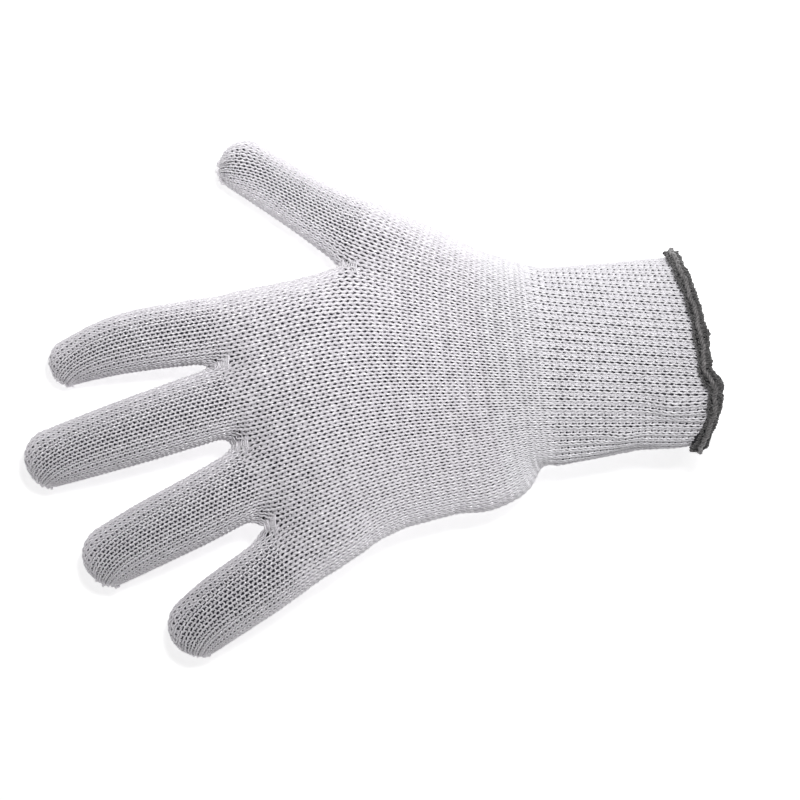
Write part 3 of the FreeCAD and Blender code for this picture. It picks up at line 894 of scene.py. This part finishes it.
SHELL_YARN = yarn_material(
    "shell_yarn", [(0.34, (0.64, 0.61, 0.67)), (0.50, (0.85, 0.825, 0.865)),
                   (0.68, (0.95, 0.93, 0.96))], 0.24, 0.10)
RIB_YARN = yarn_material(
    "rib_yarn", [(0.34, (0.64, 0.62, 0.67)), (0.50, (0.85, 0.835, 0.87)),
                 (0.68, (0.95, 0.94, 0.96))], 0.30, 0.10)
# the shell's yarn again, painted lighter and with brighter tops on the digits: painted light where
# less light falls on them
LIT_DIGIT_YARN = yarn_material(
    "digit_yarn_painted_light", [(0.34, (0.60, 0.575, 0.63)), (0.50, (0.90, 0.875, 0.915)),
                   (0.68, (0.98, 0.96, 0.99))], 0.22, 0.10, gloss=1.0)
# lining: grey back of the knit, with painted shade in the hollows between its loops
LINING = lining_material(
    "knit_back", [(0.15, (0.16, 0.155, 0.175)), (0.5, (0.50, 0.485, 0.51)),
                  (0.85, (0.80, 0.785, 0.81))])
# dark face under the yarn: painted shade seen through the holes between the stitches
SHADE_FACE = speckled("painted_shade_face", [(0.35, (0.035, 0.034, 0.045)), (0.7, (0.11, 0.105, 0.13))],
                  0.8, 900.0)
BINDING = yarn_material(
    "binding_yarn", [(0.32, (0.010, 0.010, 0.011)), (0.46, (0.032, 0.031, 0.032)),
                     (0.60, (0.13, 0.125, 0.125))], 0.6, 0.30, 2.0, 0.4)
# the binding's ridge: the same black yarn painted lighter, a painted highlight along it
RIDGE_HIGHLIGHT_YARN = yarn_material(
    "painted_highlight_ridge", [(0.32, (0.030, 0.029, 0.030)), (0.46, (0.085, 0.080, 0.082)),
                      (0.60, (0.20, 0.19, 0.19))], 0.5, 0.35, 2.0, 0.4)
BINDING_CORE = speckled("binding_core", [(0.3, (0.012, 0.012, 0.014)),
                                         (0.7, (0.035, 0.035, 0.04))], 0.85, 1500.0)

# ------------ the pieces


def finish_piece(obj, material, slot, stands_for, ride=None, blend=None):
    """Material of a piece, the body that it rides with if any, and the CAD nodes that it
    replaces; slot and blend are not used.
    """
    obj.data.materials.append(material)
    if ride:
        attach(obj, ride)
    else:
        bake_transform(obj)
    if stands_for:
        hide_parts(*stands_for)
    return obj


def across_joint(name, along, before, after):
    """Start and end of the bending stretch round a joint."""
    along = unit(np.array(along, float))
    return JOINT[name] - along * before, JOINT[name] + along * after


def first_row(grid, joint, along, distance):
    """First row whose every node lies beyond a distance past a joint."""
    along = unit(np.array(along, float))
    reach = (P[grid] - JOINT[joint]) @ along
    rows = np.where(reach.min(1) > distance)[0]
    return int(rows[0]) if len(rows) else len(grid)


X_BACK = (-1.0, 0.0, 0.0)
# half length of the bending stretch at the wrist and at the knuckles
BEND_REACH = 12.0
wrist_blend = ("cuff", "palm",
               *across_joint("wrist_hinge", X_BACK, BEND_REACH, BEND_REACH))
knuckle_blend = ("palm", "finger_roots",
                 *across_joint("knuckle_hinge", X_BACK, BEND_REACH, BEND_REACH))

lower_knit = Knit(lower, None, after_lower, rib=0.30, rib_rows=CUFF_ROWS + 1)
upper_knit = Knit(upper, before_upper, after_upper)

row_wrist = first_row(lower, "wrist_hinge", X_BACK, BEND_REACH)
row_mouth = CUFF_ROWS // 2
row_half = (row_wrist + len(lower)) // 2
# each piece: name, yarn, its grid and rows, motion, CAD nodes it stands for, the row it
# leads to, material and slot
pieces = [
    ("cuff_rib", lower_knit, lower, 0, row_mouth, dict(ride="cuff"),
     ["cuff_rib", "cuff_elastic_threads"], after_lower, RIB_YARN, "rib_knit"),
    ("wrist", lower_knit, lower, row_mouth, row_wrist, dict(blend=wrist_blend),
     ["wrist_bend"], after_lower, RIB_YARN, "rib_knit"),
    ("palm_heel", lower_knit, lower, row_wrist, row_half, dict(ride="palm"),
     ["palm"], after_lower, SHELL_YARN, "knit_shell"),
    ("palm_middle", lower_knit, lower, row_half, len(lower), dict(ride="palm"),
     [], after_lower, SHELL_YARN, "knit_shell"),
    ("knuckles", upper_knit, upper, 0, UPPER_ROWS // 2, dict(blend=knuckle_blend),
     ["knuckle_bend"], after_upper, SHELL_YARN, "knit_shell"),
    ("finger_roots", upper_knit, upper, UPPER_ROWS // 2, UPPER_ROWS,
     dict(blend=knuckle_blend), ["finger_root_band"], after_upper, SHELL_YARN,
     "knit_shell"),
]
# bending stretches of a digit: before and after its first joint, and half of its second
SPANS = {"index": (8.5, 10.5, 10.5), "middle": (10.5, 10.5, 10.5),
         "ring": (10.5, 10.5, 10.5), "little": (8.5, 8.5, 8.5), "thumb": (4.0, 8.0, 9.0)}
DIGIT_LEAN = 0.205
DIGIT_DEPTH = 0.58
YARN_RADIUS = {"index": 0.30, "middle": 0.285, "ring": 0.28, "little": 0.27,
               "thumb": 0.31}
for name, grid in digits.items():
    line = CONTROL[name][0]
    near, far, tip_reach = SPANS[name]
    joint_a = name + ("_base_hinge" if name == "thumb" else "_middle_hinge")
    joint_b = name + "_tip_hinge"
    body_a = "palm" if name == "thumb" else "finger_roots"
    body_b = name + ("_base_section" if name == "thumb" else "_middle_section")
    body_c = name + "_tip_section"
    along_a = unit(line[-3] - line[-4]) + unit(line[-2] - line[-3])
    along_b = unit(line[-2] - line[-3]) + unit(line[-1] - line[-2])
    blend_a = (body_a, body_b, *across_joint(joint_a, along_a, near, far))
    blend_b = (body_b, body_c, *across_joint(joint_b, along_b, tip_reach, tip_reach))
    row = first_row(grid, joint_a, along_a, far - 0.5)
    knit = Knit(grid, before_row[name], None, lean=DIGIT_LEAN, depth=DIGIT_DEPTH,
                radius=YARN_RADIUS[name])
    base = name + ("_base" if name == "thumb" else "_middle")
    # the digits take the yarn painted lighter, as painted light
    pieces.append((base, knit, grid, 0, row, dict(blend=blend_a),
                   [base, base + "_bend"], None, LIT_DIGIT_YARN, "knit_shell"))
    pieces.append((name + "_tip", knit, grid, row, len(grid), dict(blend=blend_b),
                   [name + "_tip", name + "_tip_bend"], None, LIT_DIGIT_YARN, "knit_shell"))

for name, knit, grid, first, last, motion, stands_for, after, material, slot in pieces:
    obj = knit.mesh(name + "_knit", first, last)
    finish_piece(obj, material, slot, stands_for, **motion)
    # the dark face of painted shade under the yarn
    shade_face = shade_face_mesh(name + "_painted_shade_face", grid, first, last, after)
    finish_piece(shade_face, SHADE_FACE, slot, [], **motion)
    lining = lining_mesh(name + "_lining", grid, first, last, after)
    finish_piece(lining, LINING, slot, [], **motion)

# ------------ loose yarn helper


def tube(path, radius, sides=5, normal=UP, closed=False):
    """Vertices, quads and texture coordinates of a tube along a path."""
    path = np.asarray(path, float)
    if closed:
        tangent = unit(np.roll(path, -1, 0) - np.roll(path, 1, 0))
    else:
        tangent = unit(np.gradient(path, axis=0))
    normal = np.broadcast_to(np.asarray(normal, float), path.shape)
    side = unit(np.cross(tangent, normal) + 1e-6)
    top = np.cross(side, tangent)
    turn = np.arange(sides) / sides * 2 * math.pi
    radius = np.broadcast_to(np.asarray(radius, float), (len(path),))
    v = (path[:, None] + (np.cos(turn)[:, None] * side[:, None]
                          + np.sin(turn)[:, None] * top[:, None]) * radius[:, None, None])
    index = np.arange(len(path) * sides).reshape(-1, sides)
    a = index if closed else index[:-1]
    b = np.roll(index, -1, 0) if closed else index[1:]
    quads = np.stack([a, b, np.roll(b, -1, 1), np.roll(a, -1, 1)], -1).reshape(-1, 4)
    v = v.reshape(-1, 3)
    if closed:
        return v, quads, np.zeros((0, 3), int)
    caps = []
    for ring, order in ((index[0], 1), (index[-1], -1)):
        centre = np.full(sides, len(v))
        v = np.concatenate([v, v[ring].mean(0)[None]])
        caps.append(np.stack([ring, np.roll(ring, -1), centre], -1)[:, ::order])
    return v, quads, np.concatenate(caps)


class Bundle:
    """Many small tubes gathered into one mesh."""

    def __init__(self):
        self.v, self.q, self.t, self.uv, self.count = [], [], [], [], 0

    def add(self, path, radius, sides=5, normal=UP, closed=False, pitch=2.6):
        v, q, t = tube(path, radius, sides, normal, closed)
        run = run_length(path) / pitch
        ring = np.minimum(np.arange(len(v)) // sides, len(run) - 1)
        place = np.c_[run[ring] + self.count * 0.37, (np.arange(len(v)) % sides) / sides
                      + self.count % 97]
        start = sum(len(x) for x in self.v)
        self.v.append(v)
        self.q.append(q + start)
        self.t.append(t + start)
        self.uv.append(place)
        self.count += 1

    def mesh(self, name):
        v = np.concatenate(self.v)
        place = np.concatenate(self.uv)
        quads = np.concatenate(self.q)
        tris = np.concatenate(self.t)
        uv = np.concatenate([place[quads.ravel()], place[tris.ravel()]])
        return make_mesh(name, v, [quads, tris], uv)


# ------------ stitches at the crotches


def darn(name, left, right, body):
    """Short strands that close the corner where two tubes leave a third, at both ends of
    their crotch. Each end: a node of either tube, the crotch's end, and the two nodes of
    the third tube before them."""
    seam = Bundle()
    for ids in (left, right):
        a, b, c, before_a, before_b = (P[i] for i in ids)
        n = N[ids[2]]
        across = b - a
        u = unit(across)
        s = np.linspace(-1, 1, 8)
        forward = unit(c - (before_a + before_b) / 2)
        for k in range(-1, 5):
            t = (k + 0.2) / 5
            mid = (before_a + before_b) / 2 * (1 - t) + c * t
            width = np.linalg.norm(across) * 0.5 * (1 - 0.35 * t) + 0.3
            width *= rng.uniform(0.8, 1.1)
            slant = rng.normal(0, 0.55)
            path = (mid + u * s[:, None] * width + forward * (s * slant)[:, None]
                    + n * (0.28 - 0.75 * s * s)[:, None])
            seam.add(path, 0.38 * rng.uniform(0.85, 1.1), 6, n)
    obj = seam.mesh(name + "_crotch_stitches")
    finish_piece(obj, SHELL_YARN, "knit_shell", [], ride=body)


darn("thumb",
     (thumb[0, THUMB_HALF - 1], upper[0, 0], WEBS["thumb"][0],
      lower[-1, THUMB_HALF - 1], lower[-1, THUMB_HALF]),
     (thumb[0, -THUMB_HALF], upper[0, 2 * HALF - 1], WEBS["thumb"][-1],
      lower[-1, -THUMB_HALF], lower[-1, -THUMB_HALF - 1]), "palm")
start = 0
for name, after in zip(names, names[1:]):
    start += DORSAL[name]
    a = WEB + DORSAL[name]
    darn(name + "_" + after,
         (digits[name][0, a - 1], digits[after][0, WEB], WEBS[name][0],
          upper[-1, start - 1], upper[-1, start]),
         (digits[name][0, a + WEB], digits[after][0, -1], WEBS[name][-1],
          upper[-1, 2 * HALF - start], upper[-1, 2 * HALF - start - 1]), "finger_roots")

# ------------ edge binding

# where the binding's ends overlap, and the low end of the step after it
LUMP_ANGLE = math.radians(112.0)
LOW_ANGLE = math.radians(176.0)


def swell(angle):
    """Thickening of the binding where its ends overlap, and its small unevenness."""
    off = np.angle(np.exp(1j * (angle - LUMP_ANGLE)))
    low = np.angle(np.exp(1j * (angle - LOW_ANGLE)))
    return (1 + 0.30 * np.exp(-(off / 0.10) ** 2) + 0.42 * np.exp(-(low / 0.22) ** 2)
            + 0.07 * np.sin(angle * 9 + 1) + 0.06 * np.sin(angle * 23)
            + 0.05 * np.sin(angle * 61 + 2))


binding = Bundle()
ridge = Bundle()
WRAPS = 215
LOOSE_ENDS = 20
RIDGE_THICKNESS = 0.8
for angle in rim_spread(WRAPS):
    lean = 0.030 + rng.normal(0, 0.010)
    sweep = np.linspace(-1.05, 1.05, 11) * math.pi / 2 * 1.25
    s = swell(angle) * (1 + rng.normal(0, 0.06))
    at = angle + lean * np.sin(sweep)
    back = np.where(np.cos(sweep) < 0.25, rng.normal(0, 0.35), 0.0)
    point, away = rim(at, 2.05 * s * np.sin(sweep), 0.1 + 2.4 * s * np.cos(sweep) + back)
    binding.add(point, 0.52 * (1 + rng.normal(0, 0.14)), 5, away)
# chained rows: out and forward of the rim, swing, thickness and number of loops. Two are
# on the outer face (the thick one is the ridge, painted lighter as a highlight), one inside,
# two on the edge.
for out, forward, amp, thick, pairs in (
        (1.95, -1.6, 0.36, 0.42, WRAPS // 2), (2.50, 0.30, 0.06, 0.85, WRAPS // 3),
        (-2.2, -1.3, 0.35, 0.45, WRAPS // 2), (1.55, 2.1, 0.30, 0.42, 150),
        (-0.6, 2.6, 0.25, 0.45, 150)):
    angles = np.linspace(0, 2 * math.pi, 900, endpoint=False)
    s = swell(angles)
    wobble = np.sin(angles * pairs + out) * amp
    drift = 0.25 * np.sin(angles * 17 + forward) + 0.15 * np.sin(angles * 41)
    point, away = rim(angles, out * s + 0.3 * wobble, forward * s + wobble + drift)
    (ridge if thick > RIDGE_THICKNESS else binding).add(point, thick, 5, away, closed=True)
# loose ends of thread, most of them near the overlap
for k in range(LOOSE_ENDS):
    angle = math.radians(rng.normal(150, 38) if k % 3 else rng.uniform(20, 340))
    root, away = rim(angle, 2.3, rng.uniform(-1.5, 2.2))
    heading = unit(away * rng.uniform(0.2, 0.9) + np.array([rng.uniform(-0.3, 1.0),
                                                           rng.normal(0, 0.6), 0.3]))
    bend = unit(np.cross(heading, away) + 1e-6) * rng.normal(0, 0.9)
    t = np.linspace(0, 1, 7)[:, None]
    path = root + heading * t * rng.uniform(0.8, 1.9) + bend * t * t
    binding.add(path, 0.16, 4, away)
obj = binding.mesh("cuff_edge_binding_stitches")
finish_piece(obj, BINDING, "edge_binding", ["cuff_edge_binding"], ride="cuff")
# the ridge in its lighter yarn, a painted highlight
obj = ridge.mesh("cuff_edge_painted_highlight_ridge")
finish_piece(obj, RIDGE_HIGHLIGHT_YARN, "edge_binding", [], ride="cuff")

core = Bundle()
angles = np.linspace(0, 2 * math.pi, 300, endpoint=False)
point, away = rim(angles, 0.0, 0.3)
core.add(point, 1.75 * swell(angles), 10, away, closed=True)
obj = core.mesh("cuff_edge_binding_core")
finish_piece(obj, BINDING_CORE, "edge_binding", [], ride="cuff")

# ------------ fingertip closures

# size of the tucked knot at the end of each seam
KNOTS = {"thumb": 0.5, "index": 0.2, "middle": 0.25, "ring": 0.8, "little": 0.5}
SEAM_LOOPS = 13
LOOSE_FIBRES = 5

for name, (side, top) in slits.items():
    seam = Bundle()
    ring = digits[name][-1]
    last = P[ring]
    place = (last - last.mean(0)) @ side
    half = np.abs(place).max()

    def slit_at(goal):
        near = np.exp(-((place - goal) / 1.1) ** 2)[:, None]
        point = (last * near).sum(0) / near.sum()
        out = unit((N[ring] * near).sum(0))
        return point, out, unit(top - out * (top @ out))

    for k in range(SEAM_LOOPS):
        goal = half * (-0.86 + 1.72 * (k + 0.5) / SEAM_LOOPS) + rng.normal(0, 0.15)
        point, out, up = slit_at(goal)
        turn = np.linspace(-0.3, 1.3, 10) * math.pi
        lift = 1.0 + rng.normal(0, 0.25)
        path = (point + side * np.linspace(-0.7, 0.7, 10)[:, None] * rng.uniform(0.4, 1.4)
                + up * (np.cos(turn) * 1.25 * rng.uniform(0.85, 1.2))[:, None]
                + out * (np.sin(turn) * 1.3 * lift)[:, None])
        seam.add(path, 0.52 * rng.uniform(0.85, 1.2), 6, out)
    # the tucked end of the closing yarn, and a few loose fibres
    point, out, up = slit_at(-0.7 * half)
    turn = np.linspace(0, 2.6 * math.pi, 22)
    knot = KNOTS[name]
    coil = (point - side * 0.5 + out * 0.7 * knot
            + side * (np.cos(turn) * 1.1 * knot)[:, None] + up * (np.sin(turn) * knot)[:, None]
            + out * (0.6 * np.sin(turn * 0.7) * knot)[:, None])
    seam.add(coil, 0.42, 6, out)
    for _ in range(LOOSE_FIBRES):
        point, out, up = slit_at(rng.uniform(-1.0, 0.6) * half)
        heading = unit(out + side * rng.normal(0, 0.7) + up * rng.normal(0, 0.5))
        t = np.linspace(0, 1, 6)[:, None]
        path = (point + out * 0.8 + heading * t * rng.uniform(0.4, 1.2)
                + side * t * t * rng.normal(0, 0.7))
        seam.add(path, 0.13, 4, side)
    obj = seam.mesh(name + "_tip_closure_yarn")
    finish_piece(obj, SHELL_YARN, "closure_yarn", [name + "_tip_closure"],
                 ride=name + "_tip_section")

# ------------ floor, light, camera

FLOOR_SIZE = 6.0
# the yarn under the fingertips rests on the floor
FLOOR_GAP = 0.6
z = (FLOOR_Z - FLOOR_GAP) * MM
floor_mesh = bpy.data.meshes.new("floor")
floor_mesh.from_pydata([(-FLOOR_SIZE, -FLOOR_SIZE, z), (FLOOR_SIZE, -FLOOR_SIZE, z),
                        (FLOOR_SIZE, FLOOR_SIZE, z), (-FLOOR_SIZE, FLOOR_SIZE, z)],
                       [], [(0, 1, 2, 3)])
floor = bpy.data.objects.new("floor", floor_mesh)
bpy.context.scene.collection.objects.link(floor)
paper, _, shader = new_material("paper")
set_inputs(shader, {"Base Color": (0.93, 0.93, 0.93, 1), "Roughness": 0.9,
                    "Emission Color": (1, 1, 1, 1), "Emission Strength": 0.56})
floor_mesh.materials.append(paper)

scene = bpy.context.scene
scene.view_settings.view_transform = "Standard"
world = bpy.data.worlds.new("studio")
scene.world = world
world.use_nodes = True
set_inputs(world.node_tree.nodes["Background"],
           {"Color": (1, 1, 1, 1), "Strength": 0.30})


def place_lamp(light, place, aim):
    obj = bpy.data.objects.new(light.name, light)
    obj.location = place
    obj.rotation_euler = Vector(aim).to_track_quat("-Z", "Y").to_euler()
    scene.collection.objects.link(obj)


# the middle of the view, and a soft light aimed at it
TARGET = (-0.1081, -0.0035, 0.0)
KEY_PLACE = (0.16, 0.24, 0.60)
key = bpy.data.lights.new("key", "AREA")
key.shape = "DISK"
key.size = 0.35
key.energy = 0.9
place_lamp(key, KEY_PLACE, np.array(TARGET) - np.array(KEY_PLACE))

# a narrower light on the thumb's side, which fades towards the little finger
spot = bpy.data.lights.new("spot", "SPOT")
spot.energy = 26.0
spot.spot_size = math.radians(33.0)
spot.spot_blend = 1.0
spot.shadow_soft_size = 0.12
place_lamp(spot, (0.04, 0.25, 0.88), (-0.13, -0.165, -0.88))

camera_data = bpy.data.cameras.new("camera")
camera = bpy.data.objects.new("camera", camera_data)
scene.collection.objects.link(camera)
DISTANCE = 3.0
VIEW_WIDTH = 0.280
SENSOR = 36.0
VIEW_TURN = math.radians(-8.0)
camera_data.sensor_width = SENSOR
camera_data.lens = SENSOR * DISTANCE / VIEW_WIDTH
camera.location = (TARGET[0], TARGET[1], DISTANCE)
camera.rotation_euler = (0.0, 0.0, VIEW_TURN)
scene.camera = camera
